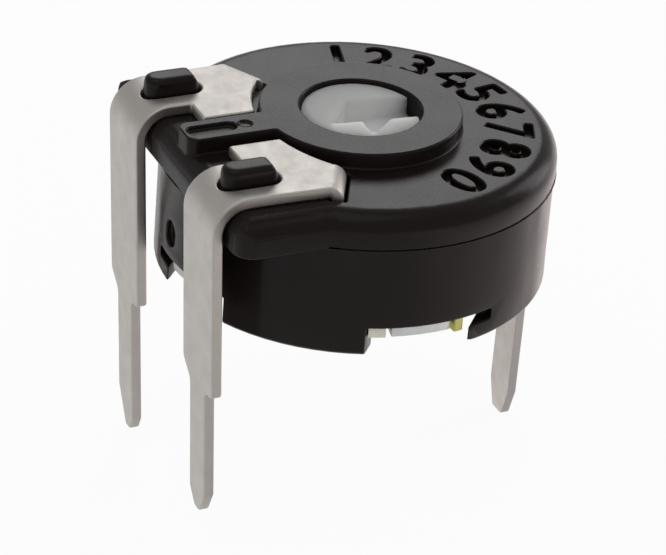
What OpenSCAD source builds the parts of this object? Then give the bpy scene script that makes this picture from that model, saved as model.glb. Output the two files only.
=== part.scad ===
// Trimmer potentiometer: a small round single-turn trimmer on three board pins, adjusted from above.
// Millimetres. Origin: the rotor's axis at the plane of the board, where the start leg's shoulder rests.
// +Z points up to the adjusting slot. The start and end terminals stand at -X, the wiper terminal at +X.

/* [Board pins] */
// Distance between the start and end pins
pin_pitch = 5.08; // [4.9:0.02:5.3]
// Distance between the row of two pins and the single pin
pin_row = 10.16; // [10:0.02:10.4]
// Length of the start and wiper pins below the board plane
pin_drop = 4.15; // [2.5:0.01:8]
// How much shorter the end pin is
end_pin_short = 0.57; // [0:0.01:1]
// Width of the start and end pins
pin_w = 0.95; // [0.8:0.05:1.1]
// Width of the wiper pin
wiper_pin_w = 1.0; // [0.8:0.05:1.2]
// Width of the blunt tip of the start and end pins
pin_tip_w = 0.28; // [0.2:0.02:0.4]
// Width of the blunt tip of the wiper pin
wiper_tip_w = 0.5; // [0.3:0.02:0.7]
// Length of the long slanting side of the start pin's point
start_point = 1.05; // [0.6:0.05:1.4]
// Length of the short bevel on the other side of that point
start_bevel = 0.4; // [0.2:0.05:0.6]
// Width of that bevel
start_bevel_w = 0.19; // [0.1:0.01:0.3]
// Length of the end pin's point on the side of the shoulder
end_point = 0.65; // [0.4:0.05:0.9]
// Length of the end pin's point on the other side
end_point_short = 0.45; // [0.3:0.05:0.6]
// Length of the wiper pin's point
wiper_point = 0.8; // [0.5:0.05:1.1]
// Sheet thickness of the start and end terminals
term_t = 0.3; // [0.25:0.01:0.4]
// Width of a leg above its shoulder
leg_w = 1.86; // [1.6:0.02:2]
// Height of the curved side of a leg, where it narrows to the pin
leg_taper = 0.62; // [0.4:0.02:1.4]
// Depth of the lower end of that side below the shoulder
leg_taper_drop = 0.25; // [0.1:0.01:0.4]
// Height of the end leg's shoulder above the start leg's, which rests on the board
end_shoulder_rise = 0.25; // [0:0.01:0.3]
// Radius of the rounded corner of the shoulder
shoulder_r = 0.14; // [0.05:0.01:0.18]
// Radius of the hollow corner between the shoulder and the pin
shoulder_hollow_r = 0.22; // [0.1:0.01:0.24]

/* [Terminal heads] */
// Distance from the axis to the back edge of a head
head_back = 3.96; // [3.8:0.02:4.1]
// Radius of a head's hollow edge beside the rotor
head_bow_r = 4; // [3.6:0.1:4.6]
// Distance of a head's inner point from the middle plane
head_nose_y = 2.4; // [2.3:0.02:2.5]
// Distance from the axis to the outer end of a head's folded edge, along X
head_side_x = 2.45; // [2.35:0.01:2.55]
// How far that outer end stands out past the side of the leg
head_flare = 0.05; // [0:0.01:0.1]
// Inner radius of the fold that leads down into the housing
fold_r = 0.05; // [0.03:0.01:0.1]
// Width of the contact tongue that reaches the end pad
prong_w = 0.65; // [0.5:0.05:0.7]
// Distance of the contact tongue from the outer end of the folded edge
prong_inset = 0.2; // [0.15:0.01:0.3]

/* [Housing] */
// Diameter of the housing below its parting line
case_d = 10.1; // [10:0.02:10.3]
// Step by which the cap stands out past the wall
cap_step = 0.03; // [0.01:0.01:0.1]
// How far the wall flares out from the parting line to the feet
wall_flare = 0.03; // [0:0.01:0.05]
// Width of the square back of the cap
cap_back_w = 8.6; // [8:0.1:9]
// Radius of the upright corners of the square back
cap_corner_r = 0.55; // [0.4:0.05:0.8]
// Radius of the rounded upper edge of the cap
cap_edge_r = 0.55; // [0.3:0.05:0.6]
// Clear height between the board plane and the feet
foot_gap = 1.63; // [1.3:0.01:2]
// Height of the feet
foot_h = 0.78; // [0.5:0.01:0.9]
// Height of the wall between the feet and the parting line
wall_h = 2.19; // [2.1:0.01:3]
// Height of the cap from the parting line to its flat top
cap_h = 0.91; // [0.8:0.01:1.1]
// Thickness of the flat top
roof_t = 0.9; // [0.75:0.05:1]
// Inner radius of the housing round the mechanism
cavity_r = 4.25; // [4.2:0.01:4.3]
// Inner radius of the housing round the resistor disc
seat_r = 4.5; // [4.45:0.01:4.6]
// Width of the bevel under the feet
foot_bevel = 0.1; // [0.05:0.01:0.2]
// Height of the oval dimple in the wall between the two legs
dimple_l = 0.7; // [0.5:0.02:0.9]
// Width of the dimple
dimple_w = 0.54; // [0.4:0.02:0.6]
// Depth of the dimple
dimple_depth = 0.15; // [0.05:0.01:0.2]
// Height of the middle of the dimple above the resistor disc's seat
dimple_rise = 0.69; // [0.5:0.01:1]

/* [Hub and guide rib] */
// Diameter of the raised ring round the rotor
hub_d = 5.2; // [5.1:0.02:5.24]
// Height of the raised ring above the flat top
hub_h = 0.42; // [0.35:0.01:0.6]
// Diameter of the hole for the rotor
hub_hole_d = 3.14; // [3.1:0.02:3.3]
// Width of the rib between the two terminals
rib_w = 1.0; // [0.9:0.02:1.04]
// Distance from the axis to the outer end of the rib
rib_end = 4.85; // [4.7:0.05:4.9]
// Radius of the rib's corners
rib_corner_r = 0.28; // [0.1:0.02:0.35]
// Length of the oval hollow in the rib
oval_l = 1.3; // [1:0.05:1.35]
// Width of the oval hollow
oval_w = 0.42; // [0.3:0.02:0.5]
// Depth of the oval hollow
oval_depth = 0.12; // [0.05:0.01:0.2]
// Distance from the axis to the middle of the oval hollow
oval_x = 4.08; // [4:0.02:4.1]
// Diameter of the small round mark beside the oval hollow
mark_d = 0.34; // [0.2:0.02:0.4]
// Depth of that mark
mark_depth = 0.06; // [0.03:0.01:0.1]
// Distance from the axis to the middle of that mark
mark_x = 3.18; // [3.1:0.02:3.2]

/* [Staking pegs] */
// Length of a peg that holds a terminal
peg_l = 1.48; // [1.3:0.02:1.6]
// Width of a peg
peg_w = 0.7; // [0.6:0.02:0.9]
// Height of a peg above the terminal
peg_h = 0.44; // [0.35:0.01:0.7]
// How far the top of a peg falls back from its inner end
peg_slope = 0.24; // [0:0.02:0.3]
// Distance from the axis to the inner end of a peg
peg_x = 3.4; // [3.36:0.02:3.44]
// Radius of the rounded top edges of a peg
peg_edge_r = 0.14; // [0.1:0.02:0.28]

/* [Rotor] */
// Play between the rotor's neck and the hub
neck_play = 0.05; // [0.02:0.01:0.1]
// Depth of the rotor's top below the hub
rotor_sink = 0.06; // [0.02:0.01:0.15]
// Diameter of the rotor's exposed top
rotor_top_d = 3.02; // [2.9:0.02:3.04]
// Height of the exposed top
rotor_top_h = 0.5; // [0.3:0.05:0.6]
// Radius of the rounded edge of the exposed top
rotor_edge_r = 0.1; // [0.05:0.01:0.2]
// Diameter of the rotor's flange
flange_d = 4.4; // [4.2:0.05:4.6]
// Height of the rotor's flange
flange_h = 0.6; // [0.5:0.05:0.7]
// Play between the flange and the roof
flange_play = 0.05; // [0.02:0.01:0.1]
// Diameter of the rotor's lower boss
boss_d = 2.1; // [2:0.02:2.2]
// Play between the boss and the contact collar
boss_play = 0.05; // [0.02:0.01:0.1]
// Depth of the adjusting slot
slot_depth = 0.52; // [0.4:0.02:0.7]
// Width of the adjusting slot
slot_w = 1.02; // [0.9:0.02:1.1]
// Distance of the middle of the adjusting slot from the axis, towards the wiper
slot_off = 0.1; // [0:0.01:0.15]
// Distance from the axis to the closed end of the adjusting slot, on the wiper's side
slot_back = 1; // [0.9:0.02:1.1]
// Distance from the axis to the closed end of the adjusting slot, on the far side
slot_back_far = 0.25; // [0.2:0.01:0.4]
// Reach of the pointed side slot along the adjusting slot, on the open side
arrow_long = 0.58; // [0.5:0.01:0.7]
// Reach of the pointed side slot along the adjusting slot, on the closed side
arrow_short = 0.16; // [0.1:0.01:0.3]
// Distance of the tip of the pointed side slot past the axis, towards the closed side
arrow_lean = 0.1; // [0:0.01:0.15]
// Distance from the axis to the tip of the pointed side slot
arrow_tip = 1.34; // [1.2:0.02:1.38]
// Width of the cross slot in the rotor's lower end
rear_slot_w = 0.5; // [0.4:0.05:0.6]
// Length of the cross slot in the rotor's lower end
rear_slot_l = 1.5; // [1.3:0.05:1.6]
// Depth of the cross slot in the rotor's lower end
rear_slot_depth = 0.6; // [0.4:0.05:0.8]

/* [Rotation] */
// Mechanical travel of the rotor in degrees
travel = 235; // [225:1:240]
// Angular width of the rotor's stop lug
lug_angle = 30; // [24:1:34]
// Distance from the axis to the outer face of the stop lug
lug_r = 2.95; // [2.8:0.01:3]
// Play between the stop lug and the stop at the ends of the travel, in degrees
stop_play = 0.5; // [0.2:0.1:1]
// Gap between the fixed stop and the flange inside it
stop_gap = 0.2; // [0.15:0.01:0.3]
// Direction of the wiper as drawn, in degrees from the wiper terminal
wiper_dir = -96; // [-110:1:110]

/* [Resistor disc] */
// Thickness of the resistor disc
disc_t = 0.7; // [0.5:0.05:0.8]
// Play between the resistor disc and the housing
disc_play = 0.06; // [0.03:0.01:0.1]
// Diameter of the hole in the resistor disc
disc_hole_d = 3.4; // [3.2:0.05:3.6]
// Mean radius of the carbon track
track_r = 2.9; // [2.85:0.01:2.95]
// Width of the carbon track
track_w = 0.75; // [0.6:0.05:0.8]
// Thickness of the carbon track and of the silver pads
track_t = 0.04; // [0.03:0.01:0.06]
// Electrical travel in degrees
track_angle = 220; // [210:1:224]
// Outer radius of the silver pads
pad_r = 4.15; // [4.1:0.01:4.18]
// Angular width of a silver pad
pad_angle = 18; // [16:1:20]
// Angular width of the foot that keeps the disc from turning
key_angle = 5; // [4:0.5:7]
// How far that foot reaches in under the disc
key_reach = 0.5; // [0.3:0.05:0.6]

/* [Wiper terminal] */
// Sheet thickness of the contact plate and its pin
plate_t = 0.28; // [0.2:0.01:0.32]
// Gap between the contact plate and the feet round it
plate_gap = 0.2; // [0.1:0.01:0.3]
// Wall thickness of the contact collar
collar_t = 0.25; // [0.2:0.01:0.28]
// Height of the contact collar above the resistor disc
collar_rise = 0.12; // [0.05:0.01:0.2]
// Inner radius of the bend where the pin leaves the plate
pin_bend_r = 0.15; // [0.1:0.01:0.2]
// Angular width of the ears that the plate reaches out into the front notches
ear_angle = 18; // [14:1:20]
// Angular width of the nib left on the plate's rim where it was parted from its strip
nib_angle = 3; // [2:0.5:4]
// Distance of the nib from the ear, in degrees
nib_gap_angle = 1.5; // [0.5:0.5:2]
// Depth of the nib's burr below the plate
nib_drop = 0.12; // [0.05:0.01:0.2]
// Depth of the ears and of the disc's foot behind the face of the wall
ear_sink = 0.06; // [0.03:0.01:0.1]

/* [Wiper] */
// Sheet thickness of the wiper
wiper_t = 0.12; // [0.1:0.01:0.15]
// Width of the wiper's arm
wiper_w = 0.8; // [0.6:0.05:0.9]
// Width of the slit that parts the arm into two fingers
wiper_slit = 0.14; // [0.1:0.01:0.2]
// Outer diameter of the wiper's ring
wiper_ring_d = 3.7; // [3.5:0.05:3.9]
// Radius of the rounded contact at the end of an arm
wiper_nose_r = 0.14; // [0.12:0.01:0.16]
// Gap left between the wiper's contacts and what they slide on
contact_gap = 0.03; // [0.02:0.01:0.05]

/* [Feet] */
// Direction of the middle of the front foot, in degrees from the wiper terminal
front_foot = -132; // [-134:0.5:-130]
// Width of the front foot and of the back foot
foot_w = 3.7; // [3.5:0.05:3.9]
// Width of the open notch beside the front foot
notch_w = 2.17; // [2.05:0.01:2.25]
// How much narrower the same notch is on the terminals' side
notch_less = 0.25; // [0:0.01:0.4]
// Length of the undercut in a hooked foot, beside the notch
hook_l = 0.4; // [0.2:0.02:0.5]
// Radius of the lower corner of a hooked foot
hook_r = 0.16; // [0.05:0.01:0.2]
// Angular width of a hooked foot
hooked_foot_angle = 52; // [46:1:56]

/* [Fits] */
// Gap between a terminal's head and the rib
rib_gap = 0.29; // [0.2:0.01:0.35]
// Gap between a terminal's head and the raised ring
hub_gap = 0.05; // [0.03:0.01:0.1]
// Gap between the leg of a terminal and the back of the cap
leg_gap = 0.07; // [0.05:0.01:0.15]
// Play between a peg and its slot
peg_play = 0.06; // [0.02:0.01:0.08]
// Play of a terminal's fold in its slot through the roof
fold_play = 0.08; // [0.05:0.01:0.12]
// Play between the wiper's ring and the boss
ring_play = 0.03; // [0.02:0.01:0.05]
// Gap between the disc's foot and the contact plate round it
key_gap = 0.12; // [0.06:0.01:0.2]

/* [Hidden] */
$fn = 96;

eps = 0.01;
over = 1;

// Heights, from the board plane upwards
z_feet = foot_gap;
z_seat = z_feet + foot_h;
z_seam = z_seat + wall_h;
z_top = z_seam + cap_h;
z_hub = z_top + hub_h;
z_roof = z_top - roof_t;
z_plate_low = z_seat - plate_t;
z_disc = z_seat + disc_t;
z_track = z_disc + track_t;
z_term = z_top + term_t;
z_flange = z_roof - flange_play;
z_flange_low = z_flange - flange_h;
z_rotor = z_hub - rotor_sink;
z_collar = z_disc + collar_rise;

// Radii
case_r = case_d / 2;
cap_r = case_r + cap_step;
cap_back = cap_r;
foot_r = case_r + wall_flare;
hub_r = hub_d / 2;
hub_hole_r = hub_hole_d / 2;
neck_r = hub_hole_r - neck_play;
boss_r = boss_d / 2;
ear_r = case_r - ear_sink;
flange_r = flange_d / 2;
collar_r = boss_r + boss_play;
disc_r = seat_r - disc_play;
plate_r = seat_r - plate_gap;

// The middle of a peg, and half the distance between the middles of its round ends
peg_mid_x = -peg_x - peg_l / 2;
peg_half = (peg_l - peg_w) / 2;

// Places of the start and end terminals
pin_y = pin_pitch / 2;
pin_x = pin_row / 2;
bend_r = cap_edge_r + leg_gap;
bend_x = cap_back - cap_edge_r;
bend_z = z_term - term_t - bend_r;
leg_lean = atan((bend_x + bend_r + term_t / 2 - pin_x) / bend_z);
head_in = rib_w / 2 + rib_gap;
head_out = pin_y + leg_w / 2;

// A head's hollow edge starts beside the raised ring and widens from it
head_bow_x = head_bow_r - hub_r - hub_gap;
head_nose = [head_bow_x - sqrt(pow(head_bow_r, 2) - pow(head_nose_y, 2)), head_nose_y];
head_side = [-head_side_x, head_out + head_flare];

// The folded edge of a head runs from its inner point to its outer side
fold_l = norm(head_side - head_nose);
fold_along = (head_side - head_nose) / fold_l;
fold_dir = atan2(fold_along[1], fold_along[0]);
prong_out = fold_l - prong_inset;
prong_in = prong_out - prong_w;

// Angles round the axis, 0 at the wiper terminal
pad_start = track_angle / 2;
stop_half = 180 - travel / 2 - lug_angle / 2 - stop_play;
foot_half = asin(foot_w / 2 / case_r);
notch_far = asin((foot_w / 2 + notch_w) / case_r);
notch_from = front_foot + foot_half;
key_gap_angle = asin(key_gap / disc_r);
key_from = notch_from + key_gap_angle / 2;
key_to = key_from + key_angle;
ear_from = key_to + key_gap_angle;
ear_to = ear_from + ear_angle;
nib_from = ear_to + nib_gap_angle;

// ---------------------------------------------------------------- helpers

// A wedge of the plane between two directions less than 180 degrees apart
module wedge(reach, from, to) {
    far = reach / cos((to - from) / 4);
    mid = (from + to) / 2;
    polygon([[0, 0],
             far * [cos(from), sin(from)],
             far * [cos((from + mid) / 2), sin((from + mid) / 2)],
             far * [cos(mid), sin(mid)],
             far * [cos((mid + to) / 2), sin((mid + to) / 2)],
             far * [cos(to), sin(to)]]);
}

// A flat piece of a ring between two directions
module ring_piece(inner, outer, from, to) {
    intersection() {
        difference() {
            circle(r = outer);
            circle(r = inner);
        }
        wedge(outer + over, from, to);
    }
}

// A block in the form of a piece of a ring
module ring_block(inner, outer, from, to, low, high) {
    translate([0, 0, low])
        linear_extrude(high - low)
            ring_piece(inner, outer, from, to);
}

// A profile drawn in X and Z, drawn out along Y
module along_y(from, to) {
    translate([0, to, 0])
        rotate([90, 0, 0])
            linear_extrude(to - from)
                children();
}

// A profile drawn in Y and Z, drawn out along X
module along_x(from, to) {
    translate([from, 0, 0])
        rotate([90, 0, 90])
            linear_extrude(to - from)
                children();
}

// A rectangle whose two corners on the left are round
module left_rounded(left, right, low, high, r) {
    translate([left + r, low])
        square([right - left - r, high - low]);
    translate([left, low + r])
        square([right - left, high - low - 2 * r]);
    for (y = [low + r, high - r])
        translate([left + r, y])
            circle(r = r, $fn = 48);
}

// A rectangle whose two upper corners are round
module top_rounded(half_w, low, high, r) {
    translate([-half_w, low])
        square([2 * half_w, high - r - low]);
    translate([-half_w + r, low])
        square([2 * (half_w - r), high - low]);
    for (side = [-1, 1])
        translate([side * (half_w - r), high - r])
            circle(r = r, $fn = 48);
}

// A slot with two round ends, along X
module oval(length, width) {
    square([length - width, width], center = true);
    for (side = [-1, 1])
        translate([side * (length - width) / 2, 0])
            circle(d = width, $fn = 48);
}

// A pin across its width, from its tip upwards, with a cut of its own width and height on each side
module pin_outline(width, tip, top, left_cut, right_cut) {
    left = -width / 2;
    right = width / 2;
    polygon([[left + left_cut[0], tip], [right - right_cut[0], tip], [right, tip + right_cut[1]],
             [right, top], [left, top], [left, tip + left_cut[1]]]);
}

// Both sides of the middle plane
module both_sides() {
    children();
    mirror([0, 1, 0])
        children();
}

// ---------------------------------------------------------------- housing

// Half the section of the round case, from the axis to its outer face
module case_section() {
    difference() {
        union() {
            polygon([[0, z_feet], [foot_r - foot_bevel, z_feet], [foot_r, z_feet + foot_bevel],
                     [case_r, z_seam], [0, z_seam]]);
            translate([0, z_seam])
                square([cap_r, cap_h - cap_edge_r]);
            translate([0, z_seam])
                square([cap_r - cap_edge_r, cap_h]);
            translate([cap_r - cap_edge_r, z_top - cap_edge_r])
                circle(r = cap_edge_r);
        }
        translate([0, z_feet - over])
            square([seat_r, z_disc - z_feet + over]);
        translate([0, z_feet])
            square([cavity_r, z_roof - z_feet]);
        square([hub_hole_r, z_hub + over]);
    }
}

// The square back of the cap, under the arms of the two terminals
module cap_back_block() {
    difference() {
        intersection() {
            along_y(-cap_back_w, cap_back_w)
                union() {
                    translate([-cap_back, z_seam])
                        square([cap_back, cap_h - cap_edge_r]);
                    translate([-cap_back + cap_edge_r, z_seam])
                        square([cap_back - cap_edge_r, cap_h]);
                    translate([-cap_back + cap_edge_r, z_top - cap_edge_r])
                        circle(r = cap_edge_r);
                }
            along_x(-cap_back - over, over)
                top_rounded(cap_back_w / 2, z_seam, z_top, cap_edge_r);
            translate([0, 0, z_seam])
                linear_extrude(cap_h)
                    left_rounded(-cap_back, 0, -cap_back_w / 2, cap_back_w / 2, cap_corner_r);
        }
        translate([0, 0, z_seam - over])
            cylinder(r = cavity_r, h = z_roof - z_seam + over);
        cylinder(r = hub_hole_r, h = z_top + over);
    }
}

// The ring round the rotor and the rib that keeps the terminals apart
module hub_and_rib() {
    translate([0, 0, z_roof])
        cylinder(r = hub_r, h = z_hub - z_roof);
    translate([0, 0, z_top - cap_edge_r])
        linear_extrude(z_hub - z_top + cap_edge_r)
            left_rounded(-rib_end, -hub_hole_r, -rib_w / 2, rib_w / 2, rib_corner_r);
}

// The upright section of a peg, with round top edges
module peg_section() {
    top_rounded(peg_w / 2, z_top - cap_edge_r, z_term + peg_h, peg_edge_r);
}

// A peg that stands up through the slot in a terminal's arm, round at both ends and sloped on the inner one
module peg() {
    peg_top = z_term + peg_h;
    difference() {
        union() {
            along_x(peg_mid_x - peg_half, peg_mid_x + peg_half)
                translate([pin_y, 0])
                    peg_section();
            for (side = [-1, 1])
                translate([peg_mid_x + side * peg_half, pin_y, 0])
                    rotate(90 + 90 * side)
                        rotate_extrude()
                            intersection() {
                                peg_section();
                                square([peg_w, peg_top]);
                            }
        }
        along_y(pin_y - peg_w, pin_y + peg_w)
            polygon([[-peg_x + eps, z_term + eps], [-peg_x - peg_slope, peg_top],
                     [-peg_x - peg_slope, peg_top + over], [-peg_x + over, peg_top + over],
                     [-peg_x + over, z_term + eps]]);
    }
}

// The slot round a peg, in plan
module peg_slot() {
    translate([peg_mid_x, 0])
        oval(peg_l + 2 * peg_play, peg_w + 2 * peg_play);
}

// The slot through the roof for the fold of a terminal
module fold_slot() {
    width = fold_r + term_t + fold_play;
    translate([head_nose[0], head_nose[1], z_roof - eps])
        rotate(fold_dir)
            translate([-fold_play, -width, 0])
                cube([fold_l + 2 * fold_play, width, roof_t + over]);
}

// The notches between the feet, and the undercuts of the hooked feet
module foot_notches() {
    rotate(front_foot) {
        along_x(0, cap_r + over)
            front_notch_section(notch_w);
        mirror([0, 1, 0])
            along_x(0, cap_r + over)
                front_notch_section(notch_w - notch_less);
    }
    for (side = [-1, 1])
        rear_notch(side, notch_far + hooked_foot_angle, 180 - foot_half);
}

// The section of a notch beside the front foot, with the undercut and the round corner of the hooked foot
module front_notch_section(width) {
    far = foot_w / 2 + width;
    translate([foot_w / 2, z_feet - over])
        square([width, z_seat - z_feet + over]);
    translate([far - eps, z_plate_low])
        square([hook_l + eps, z_seat - z_plate_low]);
    translate([far, z_feet - eps])
        difference() {
            translate([-eps, -over])
                square([hook_r + eps, hook_r + over]);
            translate([hook_r, hook_r])
                circle(r = hook_r, $fn = 48);
        }
}

// A cut through the skirt up to the seat, between two angles from the middle of the front foot
module rear_notch(side, near, far) {
    ends = [front_foot + side * near, front_foot + side * far];
    ring_block(seat_r - over, cap_r + over, min(ends), max(ends), z_feet - over, z_seat);
}

module housing() {
    color([0.13, 0.125, 0.125])
        difference() {
            union() {
                rotate_extrude()
                    case_section();
                cap_back_block();
                hub_and_rib();
                both_sides()
                    peg();
                ring_block(flange_r + stop_gap, lug_r, -stop_half, stop_half, z_flange_low + stop_gap,
                           z_roof + eps);
            }
            translate([0, 0, z_roof - over])
                cylinder(r = hub_hole_r, h = roof_t + hub_h + 2 * over);
            both_sides()
                fold_slot();
            translate([-oval_x, 0, z_hub - oval_depth])
                linear_extrude(over)
                    oval(oval_l, oval_w);
            translate([-mark_x, 0, z_hub - mark_depth])
                cylinder(d = mark_d, h = over);
            translate([dimple_depth - case_r, 0, z_seat + dimple_rise])
                rotate([0, -90, 0])
                    linear_extrude(over)
                        oval(dimple_l, dimple_w);
            foot_notches();
        }
}

// ---------------------------------------------------------------- rotor

// Half the section of the rotor, from the exposed top down to the boss
module rotor_section() {
    top_r = rotor_top_d / 2;
    translate([0, z_plate_low])
        square([boss_r, z_flange_low - z_plate_low + eps]);
    translate([0, z_flange_low])
        square([flange_r, flange_h]);
    translate([0, z_flange_low])
        square([neck_r, z_rotor - rotor_top_h - z_flange_low]);
    translate([0, z_flange_low])
        square([top_r, z_rotor - rotor_edge_r - z_flange_low]);
    translate([0, z_flange_low])
        square([top_r - rotor_edge_r, z_rotor - z_flange_low]);
    translate([top_r - rotor_edge_r, z_rotor - rotor_edge_r])
        circle(r = rotor_edge_r, $fn = 48);
}

// The adjusting slot: open at one side of the rotor, aslant at the other, with a pointed side slot
module adjusting_slot() {
    near = -slot_off - slot_w / 2;
    far = slot_w / 2 - slot_off;
    translate([0, 0, z_rotor - slot_depth])
        linear_extrude(slot_depth + over)
            polygon([[-slot_back, near], [-arrow_short, near], [-arrow_lean, -arrow_tip], [arrow_long, near],
                     [hub_r, near], [hub_r, far], [-slot_back_far, far]]);
}

module rotor() {
    color([0.72, 0.73, 0.72])
        difference() {
            union() {
                rotate_extrude()
                    rotor_section();
                ring_block(boss_r, lug_r, wiper_dir + 180 - lug_angle / 2, wiper_dir + 180 + lug_angle / 2,
                           z_flange_low, z_flange);
            }
            rotate(wiper_dir + 90)
                adjusting_slot();
            for (turn = [0, 90])
                rotate(wiper_dir + turn)
                    translate([-rear_slot_l / 2, -rear_slot_w / 2, z_plate_low - over])
                        cube([rear_slot_l, rear_slot_w, rear_slot_depth + over]);
        }
}

// ---------------------------------------------------------------- wiper

// A strip of sheet between two points, drawn from its middle line
module strip(from, to, thickness) {
    along = (to - from) / norm(to - from);
    across = [-along[1], along[0]] * thickness / 2;
    polygon([from - across, to - across, to + across, from + across]);
}

// A sprung finger in its own radial plane, from the wiper's ring to its rounded contact
module finger(root_r, contact_r, z_contact, width) {
    nose = [contact_r, z_contact + contact_gap + wiper_nose_r];
    along_y(-width / 2, width / 2)
        union() {
            strip([root_r, z_flange_low - wiper_t / 2], nose, wiper_t);
            translate(nose)
                circle(r = wiper_nose_r, $fn = 32);
        }
}

module wiper() {
    ring_r = wiper_ring_d / 2;
    color([0.78, 0.70, 0.50])
        rotate(wiper_dir)
            difference() {
                union() {
                    translate([0, 0, z_flange_low - wiper_t])
                        linear_extrude(wiper_t)
                            difference() {
                                circle(r = ring_r);
                                circle(r = boss_r + ring_play);
                            }
                    finger(ring_r - wiper_t, track_r, z_track, wiper_w);
                    for (side = [-90, 90])
                        rotate(side)
                            finger(ring_r - wiper_t, collar_r + collar_t / 2, z_collar, wiper_w / 2);
                }
                translate([ring_r + wiper_t, -wiper_slit / 2, z_track])
                    cube([ring_r, wiper_slit, z_flange_low - z_track]);
            }
}

// ---------------------------------------------------------------- resistor disc

module resistor_disc() {
    color([0.82, 0.76, 0.64])
        union() {
            translate([0, 0, z_seat])
                linear_extrude(disc_t)
                    difference() {
                        circle(r = disc_r);
                        circle(d = disc_hole_d);
                    }
            ring_block(disc_r - key_reach, ear_r, key_from, key_to, z_plate_low, z_seat + eps);
        }
}

module carbon_track() {
    color([0.10, 0.10, 0.11])
        translate([0, 0, z_disc])
            linear_extrude(track_t)
                difference() {
                    circle(r = track_r + track_w / 2);
                    circle(r = track_r - track_w / 2);
                    wedge(pad_r + over, pad_start, 360 - pad_start);
                }
}

// A silver pad at one end of the carbon track
module pad(side) {
    color([0.80, 0.80, 0.78])
        ring_block(track_r - track_w / 2, pad_r, side * (pad_start + pad_angle / 2) - pad_angle / 2,
                   side * (pad_start + pad_angle / 2) + pad_angle / 2, z_disc, z_track);
}

module start_pad() {
    pad(1);
}

module end_pad() {
    pad(-1);
}

// ---------------------------------------------------------------- wiper terminal

// The side view of the pin: level with the plate, then bent straight down
module wiper_pin_side() {
    bend = [pin_x - plate_t / 2 - pin_bend_r, z_plate_low - pin_bend_r];
    translate([plate_r - over, z_plate_low])
        square([bend[0] - plate_r + over, plate_t]);
    translate([pin_x - plate_t / 2, -pin_drop])
        square([plate_t, bend[1] + pin_drop]);
    translate(bend)
        intersection() {
            difference() {
                circle(r = pin_bend_r + plate_t, $fn = 48);
                circle(r = pin_bend_r, $fn = 48);
            }
            square(pin_bend_r + plate_t + over);
        }
}

// The front view of the pin
module wiper_pin_front() {
    cut = [(wiper_pin_w - wiper_tip_w) / 2, wiper_point];
    pin_outline(wiper_pin_w, -pin_drop, z_seat + over, cut, cut);
}

module wiper_terminal() {
    color([0.74, 0.72, 0.69])
        union() {
            difference() {
                union() {
                    translate([0, 0, z_plate_low])
                        linear_extrude(plate_t)
                            union() {
                                circle(r = plate_r);
                                ring_piece(plate_r - over, ear_r, ear_from, ear_to);
                                ring_piece(plate_r - over, ear_r, 2 * front_foot - ear_to,
                                           2 * front_foot - ear_from);
                            }
                    ring_block(plate_r - eps, ear_r, nib_from, nib_from + nib_angle,
                               z_plate_low - nib_drop, z_plate_low + plate_t);
                    translate([0, 0, z_plate_low])
                        cylinder(r = collar_r + collar_t, h = z_collar - z_plate_low);
                }
                translate([0, 0, z_plate_low - over])
                    cylinder(r = collar_r, h = z_collar - z_plate_low + 2 * over);
                ring_block(disc_r - key_reach - key_gap, ear_r + over, key_from - key_gap_angle,
                           key_to + key_gap_angle, z_plate_low - over, z_seat + eps);
            }
            intersection() {
                along_y(-wiper_pin_w, wiper_pin_w)
                    wiper_pin_side();
                along_x(0, pin_x + over)
                    wiper_pin_front();
            }
        }
}

// ---------------------------------------------------------------- start and end terminals

// The flat head beside the rotor, in plan, on the side of the start pin
module head_outline() {
    difference() {
        polygon([[-head_back, head_in], [0, head_in], head_nose - fold_along, head_side,
                 [-head_back, head_out]]);
        translate([head_bow_x, 0])
            circle(r = head_bow_r);
    }
}

// The side view of arm, bend and leg
module arm_side() {
    translate([-bend_x, z_top])
        square([bend_x - head_back + term_t, term_t]);
    translate([-bend_x, bend_z])
        union() {
            intersection() {
                difference() {
                    circle(r = bend_r + term_t);
                    circle(r = bend_r);
                }
                wedge(bend_r + term_t + over, 90, 180 + leg_lean);
            }
            rotate(leg_lean)
                translate([-bend_r - term_t, -bend_z - pin_drop - over])
                    square([term_t, bend_z + pin_drop + over]);
        }
}

// The part of a leg above its shoulder: a soft curve on one side, a square shoulder on the other
module leg_outline() {
    step = (leg_w - pin_w) / 2;
    steps = 8;
    polygon([[0, z_term + over], [leg_w / 2, z_term + over],
             for (i = [0:steps]) [pin_w / 2 + step * (1 + cos(180 * i / steps)) / 2,
                                  leg_taper * (1 - i / steps) - leg_taper_drop],
             [0, -leg_taper_drop]]);
    translate([-leg_w / 2, shoulder_r])
        square([leg_w / 2, z_term + over - shoulder_r]);
    translate([-leg_w / 2 + shoulder_r, 0])
        square([leg_w / 2 - shoulder_r, z_term]);
    translate([-leg_w / 2 + shoulder_r, shoulder_r])
        circle(r = shoulder_r, $fn = 48);
    difference() {
        translate([-pin_w / 2 - shoulder_hollow_r, -shoulder_hollow_r])
            square([shoulder_hollow_r + eps, shoulder_hollow_r + eps]);
        translate([-pin_w / 2 - shoulder_hollow_r, -shoulder_hollow_r])
            circle(r = shoulder_hollow_r, $fn = 48);
    }
}

// The front view of the start leg, with a long slanting point
module start_leg_front() {
    pin_outline(pin_w, -pin_drop, z_term + over, [start_bevel_w, start_bevel],
                [pin_w - pin_tip_w - start_bevel_w, start_point]);
    leg_outline();
}

// The front view of the end leg, shorter, with an even point
module end_leg_front() {
    cut_w = (pin_w - pin_tip_w) / 2;
    pin_outline(pin_w, end_pin_short - pin_drop, z_term + over, [cut_w, end_point],
                [cut_w, end_point_short]);
    translate([0, end_shoulder_rise])
        leg_outline();
}

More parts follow.
